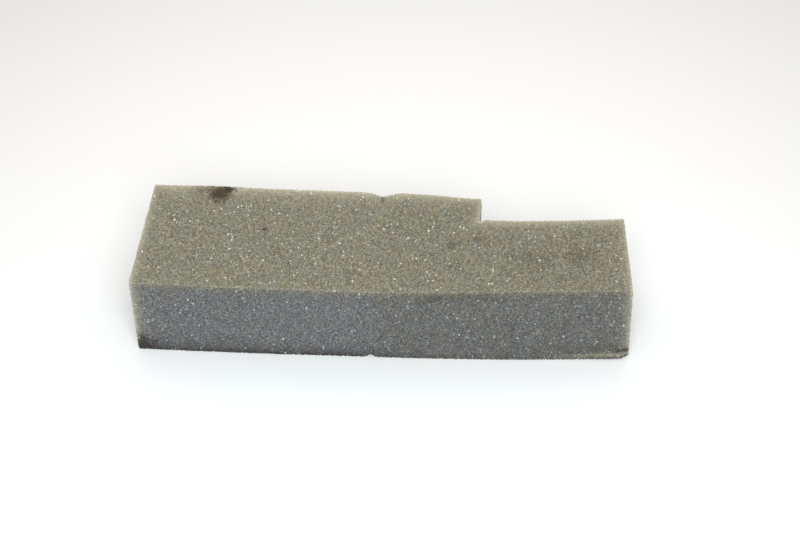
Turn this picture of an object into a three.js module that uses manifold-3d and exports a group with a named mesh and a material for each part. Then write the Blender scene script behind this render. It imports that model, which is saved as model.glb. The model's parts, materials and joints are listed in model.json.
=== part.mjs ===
// Foam insert of a small engine's air filter housing.
//
// One straight block of open-cell polyurethane foam, sawn from sheet, with a
// rectangular notch cut out of one rear corner. At half length there is a
// pinched crease in its rear face and a shallow one across its underside,
// probably from being kept folded.
//
// Millimetres. +Z is up through the sheet's thickness, +X runs along the
// block towards the notched end, and +Y towards the notched long side. The
// origin is at the middle of the underside.

import * as THREE from 'three';
import { mergeVertices } from 'three/addons/utils/BufferGeometryUtils.js';
import Module from 'manifold-3d';

// The block as it is cut from 1 inch sheet.
const LENGTH = 140;
const DEPTH = 44;
const THICKNESS = 25.4;

// The notch goes right through the thickness.
const NOTCH_LENGTH = 41;
const NOTCH_DEPTH = 12.5;

// The crease. Its line leans a little, so it meets the rear face nearer to
// half length than it meets the front face.
const CREASE_REAR_X = -1.3;
const CREASE_FRONT_X = -2.6;
const PINCH_DEPTH = 1.9;
const PINCH_HALF_WIDTH = 5;
const GROOVE_DEPTH = 0.8;
const GROOVE_HALF_WIDTH = 1.8;

// How far a cutter reaches past the faces that it cuts.
const CUT_MARGIN = 1;

const ARC_STEPS = 10;

const LEFT = -LENGTH / 2;
const RIGHT = LENGTH / 2;
const FRONT = -DEPTH / 2;
const REAR = DEPTH / 2;

// Outline seen from above, anticlockwise from the front left corner. The
// crease in the rear face is two rounded shoulders that meet in a V: each is
// an arc that leaves the face smoothly and turns down to the V's bottom.
function blockOutline() {
  const radius = (PINCH_HALF_WIDTH ** 2 + PINCH_DEPTH ** 2) / (2 * PINCH_DEPTH);
  const turn = Math.asin(PINCH_HALF_WIDTH / radius);
  const up = Math.PI / 2;
  const centreY = REAR - radius;
  const outline = new THREE.Shape();
  outline.moveTo(LEFT, FRONT);
  outline.lineTo(RIGHT, FRONT);
  outline.lineTo(RIGHT, REAR - NOTCH_DEPTH);
  outline.lineTo(RIGHT - NOTCH_LENGTH, REAR - NOTCH_DEPTH);
  outline.lineTo(RIGHT - NOTCH_LENGTH, REAR);
  outline.absarc(CREASE_REAR_X + PINCH_HALF_WIDTH, centreY, radius, up, up + turn, false);
  outline.absarc(CREASE_REAR_X - PINCH_HALF_WIDTH, centreY, radius, up - turn, up, false);
  outline.lineTo(LEFT, REAR);
  outline.closePath();
  return outline;
}

// The wedge that the crease presses out of the underside, from front to rear
// along the leaning crease line.
function creaseWedge() {
  const reach = GROOVE_HALF_WIDTH * (1 + CUT_MARGIN / GROOVE_DEPTH);
  const section = new THREE.Shape();
  section.moveTo(-reach, -CUT_MARGIN);
  section.lineTo(reach, -CUT_MARGIN);
  section.lineTo(0, GROOVE_DEPTH);
  section.closePath();

  const lean = Math.atan2(CREASE_REAR_X - CREASE_FRONT_X, DEPTH);
  const run = DEPTH / Math.cos(lean) + 2 * CUT_MARGIN;
  const wedge = new THREE.ExtrudeGeometry(section, { depth: run, bevelEnabled: false });
  wedge.translate(0, 0, -run / 2);
  wedge.rotateX(Math.PI / 2);
  wedge.rotateZ(-lean);
  wedge.translate((CREASE_FRONT_X + CREASE_REAR_X) / 2, 0, 0);
  return wedge;
}

const wasm = await Module();
wasm.setup();

// A closed three.js geometry as a manifold-3d solid, for cutting.
function toSolid(geometry) {
  const bare = geometry.clone();
  bare.deleteAttribute('normal');
  bare.deleteAttribute('uv');
  const merged = mergeVertices(bare);
  return new wasm.Manifold(new wasm.Mesh({
    numProp: 3,
    vertProperties: new Float32Array(merged.attributes.position.array),
    triVerts: new Uint32Array(merged.index.array),
  }));
}

function toGeometry(solid) {
  const mesh = solid.getMesh();
  const geometry = new THREE.BufferGeometry();
  geometry.setAttribute('position', new THREE.BufferAttribute(mesh.vertProperties, 3));
  geometry.setIndex(new THREE.BufferAttribute(mesh.triVerts, 1));
  geometry.computeVertexNormals();
  return geometry;
}

function foamBlock() {
  const sawn = new THREE.ExtrudeGeometry(blockOutline(), {
    depth: THICKNESS,
    bevelEnabled: false,
    curveSegments: ARC_STEPS,
  });
  const creased = toSolid(sawn).subtract(toSolid(creaseWedge()));
  const foam = new THREE.MeshStandardMaterial({
    color: 0x8c8979,
    roughness: 0.95,
    metalness: 0,
    flatShading: true,
  });
  const block = new THREE.Mesh(toGeometry(creased), foam);
  block.name = 'foam_block';
  return block;
}

const foamInsert = new THREE.Group();
foamInsert.add(foamBlock());

export default foamInsert;
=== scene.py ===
"""Foam insert of a small engine's air filter housing: one sawn block of open-cell foam.

The foam is worked out in millimetres, in the model's own frame, and scaled to metres as it
becomes a mesh. +X runs along the block to the notched end, +Y to the notched long side.
"""

import json
import math

import bpy
import numpy as np
from mathutils import Matrix, Vector, noise
from mathutils.geometry import delaunay_2d_cdt


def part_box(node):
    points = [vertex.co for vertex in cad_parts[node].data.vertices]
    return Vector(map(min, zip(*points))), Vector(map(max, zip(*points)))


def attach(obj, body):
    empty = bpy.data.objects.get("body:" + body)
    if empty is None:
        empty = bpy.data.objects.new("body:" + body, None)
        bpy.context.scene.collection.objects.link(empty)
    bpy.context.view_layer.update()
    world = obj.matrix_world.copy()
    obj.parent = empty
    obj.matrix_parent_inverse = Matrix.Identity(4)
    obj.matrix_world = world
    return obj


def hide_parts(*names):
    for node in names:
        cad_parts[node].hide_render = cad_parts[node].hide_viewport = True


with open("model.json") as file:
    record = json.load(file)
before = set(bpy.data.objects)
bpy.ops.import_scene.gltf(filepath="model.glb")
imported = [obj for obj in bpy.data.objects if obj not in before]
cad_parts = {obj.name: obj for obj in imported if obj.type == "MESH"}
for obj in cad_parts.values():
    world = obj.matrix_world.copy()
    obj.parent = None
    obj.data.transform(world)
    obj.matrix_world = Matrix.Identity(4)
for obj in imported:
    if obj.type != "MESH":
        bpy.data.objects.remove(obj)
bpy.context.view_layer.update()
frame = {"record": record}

# ------------------------------------------------------------------------------------------
# Foam block
# One piece of open-cell polyurethane foam, sawn from 1 inch sheet, with a rectangular notch
# cut from its rear right corner. It lies slightly bowed, pinched in the rear face and
# creased across the underside near half length, probably from being kept folded.
# ------------------------------------------------------------------------------------------
MM = 0.001
CELL = 0.86            # from one cell to the next: 30 pores to the inch, the coarse end of it
CELL_JITTER = 0.36     # how far a cell strays from an even pattern, as a share of CELL
RIM_GAP = 0.6          # how near a face's rim its own cells may come, as a share of CELL

rng = np.random.default_rng(36)

low, high = (np.array(corner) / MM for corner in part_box("foam_block"))
mounts = {m["name"]: np.array(m["pos_m"]) / MM for m in frame["record"]["mounts"]}
left, front, bottom = low
right, rear, top = high
notch_x = mounts["notch_side"][0]
notch_y = mounts["notch_back"][1]

# The straight block: its plan twice, at the underside and at the top, and its flat faces
# as loops of corners, anticlockwise seen from outside.
plan = [
    (left, front), (right, front), (right, notch_y),
    (notch_x, notch_y), (notch_x, rear), (left, rear),
]
corners = np.array([(x, y, z) for z in (bottom, top) for x, y in plan])
SIDES = len(plan)
UNDERSIDE = tuple(range(SIDES))[::-1]
TOP_FACE = tuple(range(SIDES, 2 * SIDES))
walls = [(i, (i + 1) % SIDES, (i + 1) % SIDES + SIDES, i + SIDES) for i in range(SIDES)]
face_loops = [UNDERSIDE, TOP_FACE, *walls]
FRONT_FACE = 2         # where the front face stands in that list

points = list(corners)
edge_cells = {}


def cells_along(a, b):
    """Numbers of the cells on the edge from corner a up to corner b, leaving b out."""
    ends = (min(a, b), max(a, b))
    if ends not in edge_cells:
        start, run = corners[ends[0]], corners[ends[1]] - corners[ends[0]]
        steps = round(np.linalg.norm(run) / CELL)
        shares = (np.arange(1, steps) + rng.uniform(-CELL_JITTER, CELL_JITTER, steps - 1)) / steps
        edge_cells[ends] = list(range(len(points), len(points) + steps - 1))
        points.extend(start + run * share for share in shares)
    between = edge_cells[ends]
    return [a, *(between if a < b else between[::-1])]


def well_inside(spots, outline, clearance):
    """Which flat spots lie inside an outline and at least a clearance away from it."""
    inside = np.zeros(len(spots), bool)
    clear = np.ones(len(spots), bool)
    for a, b in zip(outline, np.roll(outline, -1, axis=0)):
        crosses = (a[1] > spots[:, 1]) != (b[1] > spots[:, 1])
        with np.errstate(divide="ignore", invalid="ignore"):
            at = a[0] + (spots[:, 1] - a[1]) * (b[0] - a[0]) / (b[1] - a[1])
        inside ^= crosses & (spots[:, 0] < at)
        share = np.clip((spots - a) @ (b - a) / ((b - a) @ (b - a)), 0, 1)
        clear &= np.linalg.norm(spots - a - share[:, None] * (b - a), axis=1) > clearance
    return inside & clear


def face_axes(loop):
    """A flat face's two in-plane directions and its outward normal."""
    ring = corners[list(loop)]
    normal = np.cross(ring, np.roll(ring, -1, axis=0)).sum(axis=0)
    normal /= np.linalg.norm(normal)
    along = ring[1] - ring[0]
    along /= np.linalg.norm(along)
    return along, np.cross(normal, along), normal


INSIDE_ONLY = 1        # the triangulation's code for keeping what lies inside the outline
SAME_SPOT = 1e-7       # two points closer than this would count as one


def cells_on(loop):
    """Triangles that join neighbouring cells of one flat face."""
    along, up, _ = face_axes(loop)
    flatten = np.stack([along, up], axis=1)
    outline = corners[list(loop)] @ flatten
    rim = [cell for a, b in zip(loop, (*loop[1:], loop[0])) for cell in cells_along(a, b)]
    row = CELL * math.sqrt(3) / 2
    start = outline.min(axis=0)
    columns, rows = np.ceil((outline.max(axis=0) - start) / (CELL, row)).astype(int) + 1
    v, u = np.mgrid[0:rows, 0:columns]
    spots = np.stack([start[0] + (u + v % 2 / 2) * CELL, start[1] + v * row], -1).reshape(-1, 2)
    spots += rng.uniform(-CELL_JITTER, CELL_JITTER, spots.shape) * CELL
    spots = spots[well_inside(spots, outline, RIM_GAP * CELL)]
    first = len(points)
    level = corners[loop[0]] - (corners[loop[0]] @ flatten) @ flatten.T
    points.extend(spots @ flatten.T + level)
    numbers = np.array([*rim, *range(first, first + len(spots))])
    flat = np.array([points[n] for n in numbers]) @ flatten
    ring = [list(range(len(rim)))]
    flat = [Vector(spot) for spot in flat]
    _, _, triangles, came_from, _, _ = delaunay_2d_cdt(flat, [], ring, INSIDE_ONLY, SAME_SPOT)
    back = np.array([origin[0] for origin in came_from])
    return numbers[back[np.array(triangles)]]


coarse = [cells_on(loop) for loop in face_loops]
face_of_coarse = np.repeat(np.arange(len(coarse)), [len(t) for t in coarse])
coarse = np.concatenate(coarse)
cells = np.array(points)


def corner_normals(spots, triangles):
    """Outward normals at the points, averaged over the triangles round each, and of those."""
    a, b, c = (spots[triangles[:, i]] for i in range(3))
    facing = np.cross(b - a, c - a)
    facing /= np.linalg.norm(facing, axis=1)[:, None]
    total = np.zeros_like(spots)
    for i in range(3):
        np.add.at(total, triangles[:, i], facing)
    return total / np.linalg.norm(total, axis=1)[:, None], facing


cell_normals, strut_normals = corner_normals(cells, coarse)

# Three cells meet at a strut, in the middle of each triangle. Each joint between two cells is
# turned to run from strut to strut, so every cell becomes a ring of facets round a pit. The
# triangle past a joint is the one that has the same two cells the other way round.
FACE_NORMAL = 0.99     # a normal nearer an axis than this belongs to a flat face, not an edge
struts = cells[coarse].mean(axis=1)
a = coarse.ravel()
b = np.roll(coarse, -1, axis=1).ravel()
owner = np.repeat(np.arange(len(coarse)), 3)
key = a.astype(np.int64) * len(cells) + b
order = np.argsort(key)
other = owner[order[np.searchsorted(key[order], b.astype(np.int64) * len(cells) + a)]]
once = a < b
a, b = a[once], b[once]
this_strut, other_strut = owner[once] + len(cells), other[once] + len(cells)
facets = np.concatenate([
    np.stack([a, other_strut, this_strut], axis=1),
    np.stack([other_strut, b, this_strut], axis=1),
])
facet_face = np.tile(face_of_coarse[owner[once]], 2)

straight = np.concatenate([cells, struts])
outward = np.concatenate([cell_normals, strut_normals])
is_cell = np.arange(len(straight)) < len(cells)
on_edge = is_cell & (np.abs(outward).max(axis=1) < FACE_NORMAL)

EDGE_ROUND = 0.5       # radius that the outer edges have rubbed down to


def ease_edges(p):
    """Rounds the block's outer edges, which soft foam doesn't keep sharp."""
    x, y, z = p.T
    side = np.where(y > notch_y, notch_x, right)
    back = np.where(x > notch_x, notch_y, rear)
    nearest = np.stack([
        np.where(x - left < side - x, left, side),
        np.where(y - front < back - y, front, back),
        np.where(z - bottom < top - z, bottom, top),
    ], axis=1)
    inward = np.sign(p.mean(axis=0) - nearest)
    near = np.maximum(EDGE_ROUND - np.abs(p - nearest), 0)
    length = np.maximum(np.linalg.norm(near, axis=1), EDGE_ROUND)
    return p + inward * near * (1 - EDGE_ROUND / length)[:, None]


# The saw leaves each cut cell as a pit and the struts between them standing a little uneven.
PIT = (0.26, 0.50)     # how deep the cut cells are, shallowest and deepest
EDGE_PIT = -0.2        # on the block's edges what is left of a cell stands proud instead
STRUT_SPREAD, STRUT_LIMIT = 0.09, 0.2    # how unevenly high the struts stand, and at most
STRAY_SPREAD, STRAY_LIMIT = 0.07, 0.16   # how far points stray along the surface, and at most
FUZZ = 0.1             # how far the sawn surface springs back past the cut
pit = np.where(on_edge, EDGE_PIT, rng.uniform(*PIT, len(straight)))
strut_rise = rng.normal(0, STRUT_SPREAD, len(straight)).clip(-STRUT_LIMIT, STRUT_LIMIT)
rise = np.where(is_cell, -pit, strut_rise)
shape = ease_edges(straight) + outward * (rise + FUZZ)[:, None]
stray = rng.normal(0, STRAY_SPREAD, straight.shape).clip(-STRAY_LIMIT, STRAY_LIMIT)
stray -= outward * (stray * outward).sum(axis=1)[:, None]
shape += stray * ~on_edge[:, None]


def fade(distance, reach):
    """1 at no distance, falling smoothly to 0 at the reach and beyond."""
    return np.clip(1 - np.abs(distance) / reach, 0, 1) ** 2


# How it lies, in millimetres. Probably from being folded it has a pinch in the rear face, a
# crease across the underside that nicks the front face's foot, a shallow hollow along that
# foot, and a bow that brings both ends to the rear.
STRETCH = 1.001        # its length, as a share of the straight block's
REAR_DEPTH, FRONT_DEPTH = 4.0, 3.0       # how far in from a face its own dents die away
PINCH_X, PINCH_DEPTH, PINCH_REACH = -1.3, 2.0, 6.5
CREASE_X, CREASE_DEPTH, CREASE_REACH, CREASE_HEIGHT = -2.5, 0.9, 2.0, 1.5
NICK_DEPTH, NICK_HEIGHT = 0.9, 1.6
HOLLOW_DEPTH, HOLLOW_X, HOLLOW_REACH, HOLLOW_HEIGHT = 0.5, -2.0, 24.0, 8.0
BOW_ANGLE, BOW_X, BOW_ROUND = math.radians(3.98), 6.0, 8.0

# Both ends lean in a little towards the underside and the rear, and the underside has slid
# towards the notched end. The front face leans back, more so on the notched half. The rear
# face bulges near the end without the notch. The notch looks cut by hand: its long side is
# hollow and its corner undercut.
LEAN_DOWN, LEAN_BACK, LEAN_FROM = 0.2, 0.25, 50.0
SHEAR = 0.25
TOP_BACK, TOP_BACK_NOTCHED, NOTCHED_HALF = 0.5, 0.45, (0, 20)
BULGE, BULGE_X, BULGE_REACH = 0.4, -52.0, 10.0
NOTCH_HOLLOW, NOTCH_FLARE = 0.45, 0.4
NOTCH_FADE = 4.0       # how far in from the notch's faces their unevenness dies away
UNDERCUT_X, UNDERCUT_Y, UNDERCUT_REACH = 1.15, 0.5, 9.0
UNDERCUT_DOWN = 0.5    # how much more at the underside, as a share of UNDERCUT_X
CUT_FACE = 0.6         # points this little past the notch's side still belong to it

# The corner beside the notch has sagged, and the front edge of the underside curls out and
# up towards the notched end, with a groove above it. The corner there is worn round.
SAG_Y, SAG_Z, SAG_REACH = 0.56, 1.75, 13.0
SAG_FROM, SAG_EDGE = -5.0, 0.3           # where it starts, and how far past the notch's side
LIP_FROM, LIP_OUT, LIP_UP, LIP_HEIGHT = 0.0, 0.85, 0.6, 2.6
GROOVE_DEPTH, GROOVE_Z, GROOVE_WIDTH = 0.35, 3.8, 0.9
WORN_UP, WORN_FROM, WORN_HEIGHT = 1.6, 66.0, 6.0


def ramp(value, start, end):
    """0 before the start and 1 past the end, with a smooth rise between."""
    share = np.clip((value - start) / (end - start), 0, 1)
    return share * share * (3 - 2 * share)


def settle(p):
    """Moves the straight block's points to where they lie."""
    x, y, z = p.T.copy()
    x = x * STRETCH
    beyond = np.sign(x) * ramp(np.abs(x), LEAN_FROM, right)
    x = x - beyond * (LEAN_DOWN * (1 - z / top) + LEAN_BACK * (y - front) / (rear - front))
    x = x + SHEAR * (1 - z / top)
    crease = CREASE_X + (PINCH_X - CREASE_X) * (y - front) / (rear - front)
    near_rear = np.exp(-(rear - y) / REAR_DEPTH)
    near_front = np.exp(-(y - front) / FRONT_DEPTH)
    y = y - PINCH_DEPTH * fade(x - PINCH_X, PINCH_REACH) * near_rear
    y = y + BULGE * np.exp(-(((x - BULGE_X) / BULGE_REACH) ** 2)) * near_rear
    along_notch = np.clip((x - notch_x) / (right - notch_x), 0, 1)
    cut_line = NOTCH_FLARE * along_notch ** 2 - NOTCH_HOLLOW * np.sin(math.pi * along_notch)
    y = y + cut_line * np.exp(-np.abs(notch_y - y) / NOTCH_FADE)
    undercut = np.exp(-np.hypot(x - notch_x, y - notch_y) / UNDERCUT_REACH)
    beside_notch = np.exp(-np.abs(x - notch_x) / NOTCH_FADE) * ramp(y, notch_y - 2, notch_y)
    beside_notch *= x < notch_x + CUT_FACE
    x = x - UNDERCUT_X * (undercut + UNDERCUT_DOWN * beside_notch * (1 - z / top))
    y = y + UNDERCUT_Y * undercut ** 2
    z = z + CREASE_DEPTH * fade(x - crease, CREASE_REACH) * np.exp(-z / CREASE_HEIGHT)
    nick = NICK_DEPTH * fade(x - crease, CREASE_REACH) * np.exp(-z / NICK_HEIGHT)
    hollow = HOLLOW_DEPTH * np.exp(-(((x - HOLLOW_X) / HOLLOW_REACH) ** 2))
    hollow = hollow * np.exp(-z / HOLLOW_HEIGHT)
    y = y + (nick + hollow) * near_front
    top_back = TOP_BACK + TOP_BACK_NOTCHED * ramp(x, *NOTCHED_HALF)
    y = y + top_back * (z / top) ** 2 * near_front

    sag = np.exp(-(((x - notch_x) / SAG_REACH) ** 2)) * (x <= notch_x + SAG_EDGE)
    sag *= np.clip((y - SAG_FROM) / (rear - SAG_FROM), 0, 1) ** 2
    y = y - SAG_Y * sag
    z = z - SAG_Z * sag * np.clip(z / top, 0, 1)

    lip = ramp(x, LIP_FROM, right) * near_front
    groove = np.exp(-(((z - GROOVE_Z) / GROOVE_WIDTH) ** 2))
    y = y + lip * (GROOVE_DEPTH * groove - LIP_OUT * fade(z, LIP_HEIGHT))
    z = z + LIP_UP * lip ** 3 * fade(z, 2 * LIP_HEIGHT)
    z = z + WORN_UP * ramp(x, WORN_FROM, right) ** 3 * near_front * fade(z, WORN_HEIGHT)

    ends = np.hypot(np.array([left, right]) - BOW_X, BOW_ROUND)
    trend = (ends[1] - ends[0]) / (right - left)
    bow = np.hypot(x - BOW_X, BOW_ROUND) - ends.mean() - trend * x
    deepest = BOW_ROUND - ends.mean() - trend * BOW_X
    turn = (x - BOW_X) / np.hypot(x - BOW_X, BOW_ROUND) - trend
    x = x - BOW_ANGLE / 2 * turn * y
    y = y + BOW_ANGLE / 2 * (bow - deepest / 2)
    return np.stack([x, y, np.maximum(z, 0)], axis=1)


lying = settle(shape)

# Where the surface differs, as numbers from 0 to 1 at every point.
x, y, z = straight.T


def distance_to(start, end):
    """How far every point of the straight block is from an edge between two corners."""
    share = np.clip((straight - start) @ (end - start) / ((end - start) @ (end - start)), 0, 1)
    return np.linalg.norm(straight - start - share[:, None] * (end - start), axis=1)


# Light that gets through the foam where it is thin is painted in as a paler glow: along the
# upright edges, but for the notch's inner corner, and round the top. For each side, how bright
# its top edge is and how far in.
INNER_CORNER = 3
UPRIGHT_GLOW = (0.72, 1.3)
TOP_GLOW = [(0.12, 0.8), (0.7, 1.2), (0.9, 1.9), (0.8, 1.2), (0.95, 2.1), (0.7, 1.2)]
painted_glow = np.zeros(len(straight))
for i, top_glow in enumerate(TOP_GLOW):
    j = (i + 1) % SIDES
    glows = [(i + SIDES, j + SIDES, top_glow)]
    if i != INNER_CORNER:
        glows.append((i, i + SIDES, UPRIGHT_GLOW))
    for start, end, (share, reach) in glows:
        glow = share * np.exp(-distance_to(corners[start], corners[end]) / reach)
        painted_glow = np.maximum(painted_glow, glow)

# The front face is greyer and darker than the rest: partly its own grey, partly painted shade
# of a face that takes less light than the top. Its top edge and its ends are painted yellower
# with light that gets through there, and its notched half is a little yellower.
GREY_HEAD_START, GREY_REACH = 0.2, 0.5   # how the grey sets in below the top edge
YELLOW_TOP, YELLOW_TOP_REACH = 0.9, 1.8
YELLOW_END, YELLOW_END_REACH = 0.8, 1.5
YELLOW_HALF, YELLOW_HALF_FROM = 0.24, (-4, 4)
on_front = outward[:, 1] < -0.5
front_grey_and_painted_shade = on_front * (1 - np.exp(-(top - z + GREY_HEAD_START) / GREY_REACH))
yellower_and_painted_edge_light = YELLOW_TOP * np.exp(-(top - z) / YELLOW_TOP_REACH)
yellower_and_painted_edge_light = yellower_and_painted_edge_light + YELLOW_HALF * ramp(x, *YELLOW_HALF_FROM)
yellow_left = YELLOW_END * np.exp(-(x - left) / YELLOW_END_REACH)
yellow_right = YELLOW_END * np.exp(-(right - x) / YELLOW_END_REACH)
yellower_and_painted_edge_light += yellow_left + yellow_right

# Towards the notched end the front edge of the underside is a lip, painted pale and yellower
# with light through it, over a painted dark line of shadow.
LIP_SHOWS, LIP_YELLOW_HEIGHT = (40, 66), 3.0
LIP_GLOW, LIP_GLOW_MORE, LIP_GLOW_MORE_FROM = 0.55, 0.3, 60.0
LIP_GLOW_Z, LIP_GLOW_WIDTH = 1.1, 0.6
PAINTED_LIP_SHADOW, PAINTED_LIP_SHADOW_HEIGHT = 0.95, 0.6
lip_side = on_front * ramp(x, *LIP_SHOWS)
lip_yellow = lip_side * np.exp(-(z / LIP_YELLOW_HEIGHT) ** 2)
yellower_and_painted_edge_light = on_front * np.minimum(yellower_and_painted_edge_light + lip_yellow, 1)
painted_lip_glow = (LIP_GLOW + LIP_GLOW_MORE * ramp(x, LIP_GLOW_MORE_FROM, right)) * lip_side
painted_glow = np.maximum(painted_glow, painted_lip_glow * np.exp(-(((z - LIP_GLOW_Z) / LIP_GLOW_WIDTH) ** 2)))

# Dirt and painted shade: where each mark is, how far it reaches each way, and how dark it is.
marks = [
    ((-49.8, 19.0, top), (4.8, 5.4, 2.0), 0.9),
    ((-47.8, 21.0, top), (3.0, 3.0, 2.0), 0.95),
    ((-54.0, 20.6, top), (6.5, 3.4, 1.5), 0.42),
    ((20.1, -1.6, top), (2.4, 2.6, 1.0), 0.45),
    ((27.6, 1.1, top), (2.0, 2.2, 1.0), 0.4),
    ((-34.7, 3.6, top), (0.9, 0.9, 0.9), 1.0),
    ((42.7, -7.7, top), (9.0, 7.0, 1.0), 0.22),
    ((56.4, -6.3, top), (7.0, 6.0, 1.0), 0.3),
    ((48.0, 0.0, top), (55.0, 45.0, 2.0), 0.06),
    ((36.9, front, 11.4), (0.9, 0.9, 0.9), 1.0),
    # Painted shade in the pinch.
    ((-1.3, rear - 1.5, top), (0.8, 3.5, 1.0), 0.5),
    ((14.4, front, 23.0), (5.0, 2.0, 2.2), 0.45),
    ((26.0, front, 23.0), (16.0, 2.0, 2.5), 0.28),
    # Darker in the nick at the crease's foot.
    ((-2.0, front, 2.0), (0.6, 1.5, 3.2), 0.5),
    ((left, front, 0.0), (9.5, 4.0, 8.0), 0.95),
    # Dirt and painted shade at the corner above the lip's end, where it is dented.
    ((right, front, 2.8), (6.0, 2.5, 1.2), 0.9),
    # Painted shade in the groove above the lip.
    ((58.0, front, 3.8), (22.0, 2.0, 2.4), 0.25),
]
PATCHINESS = 0.14      # how unevenly the dirt has taken from cell to cell
MARK_HEART = 0.35      # share of a mark's reach in which it is at its darkest
dirt_and_painted_shade = np.zeros(len(straight))
patchy = rng.normal(0, PATCHINESS, len(straight))
for place, reach, dark in marks:
    away = np.linalg.norm((straight - place) / reach, axis=1) + patchy
    dirt_and_painted_shade = np.maximum(dirt_and_painted_shade, dark * (1 - ramp(away, MARK_HEART, 1)))

# Grime along the foot of the front face, less of it in two steps towards the notched end, and
# that half's whole front a little darker.
FOOT, FOOT_HEIGHT = 1.05, 1.9
FOOT_LESS = [(0.5, -12, 20), (0.25, 30, 60)]
HALF_DARKER, HALF_DARKER_FROM = 0.13, (-4, 6)
foot = FOOT
for less, start, end in FOOT_LESS:
    foot = foot - less * ramp(x, start, end)
foot = np.exp(-z / FOOT_HEIGHT) * (foot + patchy)
foot = on_front * np.maximum(foot, HALF_DARKER * ramp(x, *HALF_DARKER_FROM))
# A painted shadow: the dark line under the lip.
foot = np.maximum(foot, PAINTED_LIP_SHADOW * lip_side * np.exp(-(z / PAINTED_LIP_SHADOW_HEIGHT) ** 2))
dirt_and_painted_shade = np.clip(np.maximum(dirt_and_painted_shade, foot), 0, 1)

mesh = bpy.data.meshes.new("foam_block")
mesh.from_pydata((lying * MM).tolist(), [], facets.tolist())


def store(name, domain, values):
    """Keeps a value for every point or facet in the mesh, for the material to read."""
    mesh.attributes.new(name, "FLOAT", domain).data.foreach_set("value", values.astype(np.float32))


# A few facets are intact cell membranes, given less roughness and a pale painted glint that
# stands for the light they reflect. Nearly all lie so that they hardly shine, which the high
# power gives, and they shine least on the front face.
WINDOWS = 0.10         # share of the facets that are membranes
SHINE, SHINE_POWER = (0.2, 1), 10
SHINE_FRONT, SHINE_ELSEWHERE = 0.46, 0.88
SHINE_LESS, SHINE_LESS_FROM = 0.26, (20, 60)
# The cut cells are painted darker than the struts, as shade in the pits.
PAINTED_PIT_SHADE = (0.75, 1.3)    # how dark the cells are, palest and darkest, where 1 is full dark
MOTTLE = 3.0           # size of the patches in which the colour drifts
windows = rng.random(len(facets)) < WINDOWS
painted_pit_shade = rng.uniform(*PAINTED_PIT_SHADE, len(straight))
store("pit", "POINT", np.where(is_cell, painted_pit_shade, 0).clip(0, 1))
store("painted_glow", "POINT", painted_glow)
store("front_grey_and_painted_shade", "POINT", front_grey_and_painted_shade)
store("yellower_and_painted_edge_light", "POINT", yellower_and_painted_edge_light)
store("dirt_and_painted_shade", "POINT", dirt_and_painted_shade)
store("facet", "FACE", rng.random(len(facets)))
store("hue", "FACE", rng.random(len(facets)))
mottle = [noise.noise(Vector(p) / MOTTLE) for p in straight]
store("mottle", "POINT", (0.5 + np.array(mottle)).clip(0, 1))
painted_glint = windows * rng.uniform(*SHINE, len(facets)) ** SHINE_POWER
facet_x = straight[facets].mean(axis=1)[:, 0]
elsewhere = SHINE_ELSEWHERE - SHINE_LESS * ramp(facet_x, *SHINE_LESS_FROM)
painted_glint *= np.where(facet_face == FRONT_FACE, SHINE_FRONT, elsewhere)
store("membrane_gloss_and_painted_glint", "FACE", painted_glint)
foam = bpy.data.objects.new("open_cell_foam", mesh)
bpy.context.scene.collection.objects.link(foam)

# Every flat face has its own place on the unwrapped sheet, all at one scale, so that a cell
# is as large on one face as on another. The rows hold the faces' numbers in face_loops.
SHEET = 178            # its side; the last row of faces ends 1.2 past it
SHEET_GAP = 3          # between two faces on it
rows_of_faces = [[0], [1], [2], [6, 4], [7, 3, 5]]
loop_vertices = facets.ravel()
loop_face = np.repeat(facet_face, 3)
uv = np.zeros((len(loop_vertices), 2))
sheet_y = SHEET_GAP
for row_of_faces in rows_of_faces:
    sheet_x, tallest = SHEET_GAP, 0
    for number in row_of_faces:
        along, up, _ = face_axes(face_loops[number])
        flatten = np.stack([along, up], axis=1)
        outline = corners[list(face_loops[number])] @ flatten
        size = outline.max(axis=0) - outline.min(axis=0)
        here = loop_face == number
        place = straight[loop_vertices[here]] @ flatten - outline.min(axis=0)
        uv[here] = (place + (sheet_x, sheet_y)) / SHEET
        sheet_x += size[0] + SHEET_GAP
        tallest = max(tallest, size[1])
    sheet_y += tallest + SHEET_GAP
mesh.uv_layers.new(name="OFBake").data.foreach_set("uv", uv.astype(np.float32).ravel())


def srgb(code):
    """A hex colour as the linear values that a shader takes."""
    channels = [int(code[i:i + 2], 16) / 255 for i in (1, 3, 5)]
    return [c / 12.92 if c <= 0.04045 else ((c + 0.055) / 1.055) ** 2.4 for c in channels] + [1]


def add_node(tree, kind, settings=None, links=None):
    """Adds a node, sets its properties and inputs, and links other nodes' outputs to it."""
    made = tree.nodes.new(kind)
    for name, value in (settings or {}).items():
        if isinstance(name, int) or name in made.inputs:
            made.inputs[name].default_value = value
        else:
            setattr(made, name, value)
    for name, (source, output) in (links or {}).items():
        tree.links.new(source.outputs[output], made.inputs[name])
    return made


# Open-cell polyurethane foam, sawn: matt, khaki grey where it has yellowed, with cut cells
# painted darker than the struts as shade, and here and there an intact membrane that has a
# painted glint.
polyurethane = bpy.data.materials.new("sawn_open_cell_polyurethane")
polyurethane.use_nodes = True
tree = polyurethane.node_tree
tree.nodes.clear()
painted_pit_shade_at, painted_glow_at, front_grey_and_painted_shade_at, yellower_and_painted_edge_light_at, dirt_and_painted_shade_at, facet_at, hue_at, mottle_at, membrane_gloss_and_painted_glint_at = (
    add_node(tree, "ShaderNodeAttribute", {"attribute_name": name})
    for name in (
        "pit", "painted_glow", "front_grey_and_painted_shade", "yellower_and_painted_edge_light", "dirt_and_painted_shade", "facet", "hue", "mottle", "membrane_gloss_and_painted_glint",
    )
)


MIX_FIRST, MIX_SECOND, MIX_RESULT = 6, 7, 2    # the Mix node's own numbers for its colours


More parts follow.
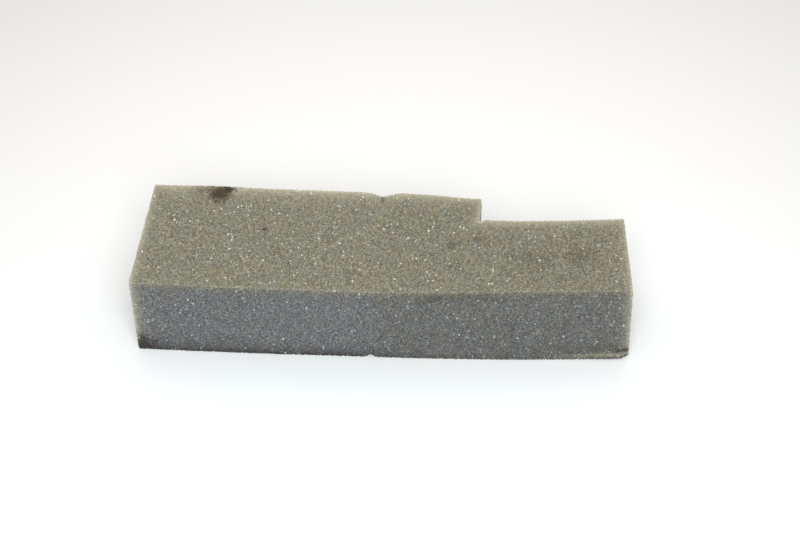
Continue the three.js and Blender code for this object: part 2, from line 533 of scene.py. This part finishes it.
def blend(factor, first, second, output="Fac", mode="MIX"):
    """The colour between two others, each a hex colour or a node's socket."""
    settings, links = {"data_type": "RGBA", "blend_type": mode}, {}
    if isinstance(factor, float):
        settings[0] = factor
    else:
        links[0] = (factor, output)
    for slot, colour in ((MIX_FIRST, first), (MIX_SECOND, second)):
        if isinstance(colour, str):
            settings[slot] = srgb(colour)
        else:
            links[slot] = colour
    return add_node(tree, "ShaderNodeMix", settings, links), MIX_RESULT


# Each tone goes from the struts' colour to the cut cells', painted darker as shade in the
# pits. Single facets then lean a little pink or green, and patches a few millimetres wide a
# little warm or cool.
FACET_SHADE = (0.63, 1.38)     # how far single facets are darker and lighter than the tone
MATT, GLOSSY = 0.95, 0.3       # roughness of the foam and of a membrane that shines fully
yellowed = blend(painted_pit_shade_at, "#928E7D", "#706C60")
# The front face's tones, painted darker than the rest's, in part as shade.
front_grey_shaded = blend(painted_pit_shade_at, "#727477", "#59595B")
front_yellower_shaded = blend(painted_pit_shade_at, "#757363", "#5B584B")
front_tone = blend(yellower_and_painted_edge_light_at, front_grey_shaded, front_yellower_shaded)
face_tone = blend(front_grey_and_painted_shade_at, yellowed, front_tone)
cast = blend(hue_at, "#FFF7FF", "#F5FFF4")
face_tone = blend(1.0, face_tone, cast, mode="MULTIPLY")
drift = blend(mottle_at, "#FFFBF4", "#F9FCFF")
face_tone = blend(1.0, face_tone, drift, mode="MULTIPLY")
facet_shade = add_node(
    tree, "ShaderNodeMapRange", {"To Min": FACET_SHADE[0], "To Max": FACET_SHADE[1]},
    {"Value": (facet_at, "Fac")},
)
speckled = add_node(
    tree, "ShaderNodeVectorMath", {"operation": "SCALE"},
    {0: face_tone, "Scale": (facet_shade, "Result")},
)
# The glow of light through the thin edges, painted paler onto the foam's tone.
painted_glow_colour = blend(front_grey_and_painted_shade_at, "#BCB6A0", "#B5B1A4")
with_painted_glow = blend(painted_glow_at, (speckled, 0), painted_glow_colour)
grime_and_painted_shade = blend(front_grey_and_painted_shade_at, "#3F341F", "#2F2C28")
dirty_and_shaded = blend(dirt_and_painted_shade_at, with_painted_glow, grime_and_painted_shade)
# A painted glint: the membranes' pale colour stands for the light they reflect.
with_painted_glints = blend(membrane_gloss_and_painted_glint_at, dirty_and_shaded, "#F2FAF9")
roughness = add_node(
    tree, "ShaderNodeMapRange", {"To Min": MATT, "To Max": GLOSSY}, {"Value": (membrane_gloss_and_painted_glint_at, "Fac")},
)
shader = add_node(
    tree, "ShaderNodeBsdfPrincipled", {"IOR": 1.45},
    {"Base Color": with_painted_glints, "Roughness": (roughness, "Result")},
)
add_node(tree, "ShaderNodeOutputMaterial", {}, {"Surface": (shader, "BSDF")})
mesh.materials.append(polyurethane)

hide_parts("foam_block")
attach(foam, "root")

# ------------------------------------------------------------------------------------------
# Floor
# A matt white laminate table top, far larger than what shows of it. A pool of light is painted
# on its white: brightest round the block, cooler in front of it and warmer behind, and greyer
# further off.
# ------------------------------------------------------------------------------------------
FLOOR_RADIUS, FLOOR_SIDES = 3.0, 96
WHITE_WITHIN, GREY_BEYOND = 0.06, 0.28   # metres from the middle
COOL_TO_WARM = 0.06                      # metres either side of it, from front to rear
floor_mesh = bpy.data.meshes.new("floor")
turns = np.linspace(0, 2 * math.pi, FLOOR_SIDES, endpoint=False)
rim = [(FLOOR_RADIUS * math.cos(turn), FLOOR_RADIUS * math.sin(turn), 0) for turn in turns]
floor_mesh.from_pydata(rim, [], [list(range(FLOOR_SIDES))])
floor = bpy.data.objects.new("floor", floor_mesh)
bpy.context.scene.collection.objects.link(floor)
table_top = bpy.data.materials.new("matt_white_laminate")
table_top.use_nodes = True
tree = table_top.node_tree
tree.nodes.clear()
spot = add_node(tree, "ShaderNodeTexCoord")
away = add_node(
    tree, "ShaderNodeVectorMath", {"operation": "LENGTH"}, {0: (spot, "Object")},
)
further_off = add_node(
    tree, "ShaderNodeMapRange",
    {"interpolation_type": "SMOOTHSTEP", "From Min": WHITE_WITHIN, "From Max": GREY_BEYOND},
    {"Value": (away, "Value")},
)
split = add_node(tree, "ShaderNodeSeparateXYZ", {}, {0: (spot, "Object")})
rearward = add_node(
    tree, "ShaderNodeMapRange", {"From Min": -COOL_TO_WARM, "From Max": COOL_TO_WARM},
    {"Value": (split, "Y")},
)
# A painted pool of light, cooler in front and warmer behind.
painted_light_cool_to_warm = blend(rearward, "#F8FDFF", "#F9F8F7", output="Result")
painted_pool_of_light = blend(further_off, painted_light_cool_to_warm, "#DEDBD8", output="Result")
laminate = add_node(
    tree, "ShaderNodeBsdfPrincipled", {"Roughness": 0.6}, {"Base Color": painted_pool_of_light},
)
add_node(tree, "ShaderNodeOutputMaterial", {}, {"Surface": (laminate, "BSDF")})
floor_mesh.materials.append(table_top)

# ------------------------------------------------------------------------------------------
# Light
# One large soft box in front and above, a small faint one above and behind, both turned to
# the foot of the block's middle, and a white room that gives light from all round.
# ------------------------------------------------------------------------------------------
def soft_light(name, size, at, energy, color):
    """A round soft box, its size and place in metres and its energy in watts."""
    lamp = bpy.data.lights.new(name, "AREA")
    lamp.shape = "DISK"
    lamp.size = size
    lamp.energy = energy
    lamp.color = color
    holder = bpy.data.objects.new(name, lamp)
    holder.location = at
    holder.visible_camera = False
    holder.rotation_euler = Vector(at).to_track_quat("Z", "Y").to_euler()
    bpy.context.scene.collection.objects.link(holder)


soft_light("soft_box", size=0.9, at=(0.1, -0.9, 0.9), energy=13.3, color=(0.94, 0.98, 1.0))
soft_light("rear_light", size=0.5, at=(0.0, 0.35, 0.5), energy=0.3, color=(1.0, 0.97, 0.92))

ROOM_COLOR, ROOM_STRENGTH = (1.0, 0.975, 0.94, 1), 0.6
room = bpy.data.worlds.new("white_room")
room.use_nodes = True
background = room.node_tree.nodes["Background"]
background.inputs["Color"].default_value = ROOM_COLOR
background.inputs["Strength"].default_value = ROOM_STRENGTH
bpy.context.scene.world = room
bpy.context.scene.view_settings.view_transform = "Standard"

# ------------------------------------------------------------------------------------------
# Camera
# It stands 0.6 m off, 3 cm to the right of the block's middle, and looks down on it at 42
# degrees through a long lens, turned and tilted by a degree or three.
# ------------------------------------------------------------------------------------------
LENS = 90.4
NEAREST = 0.01         # metres; nothing nearer than this is drawn
CAMERA_AT = Vector((0.0298, -0.4357, 0.4052))
HEADING, PITCH, ROLL = math.radians(-3.29), math.radians(41.81), math.radians(-1.18)
ahead = Vector((
    math.sin(HEADING) * math.cos(PITCH),
    math.cos(HEADING) * math.cos(PITCH),
    -math.sin(PITCH),
))
level = Vector((math.cos(HEADING), -math.sin(HEADING), 0))
upright = level.cross(ahead)
across = level * math.cos(ROLL) + upright * math.sin(ROLL)
camera = bpy.data.objects.new("camera", bpy.data.cameras.new("camera"))
camera.data.lens = LENS
camera.data.clip_start = NEAREST
turned = Matrix((across, across.cross(ahead), -ahead)).transposed().to_4x4()
camera.matrix_world = Matrix.Translation(CAMERA_AT) @ turned
bpy.context.scene.collection.objects.link(camera)
bpy.context.scene.camera = camera
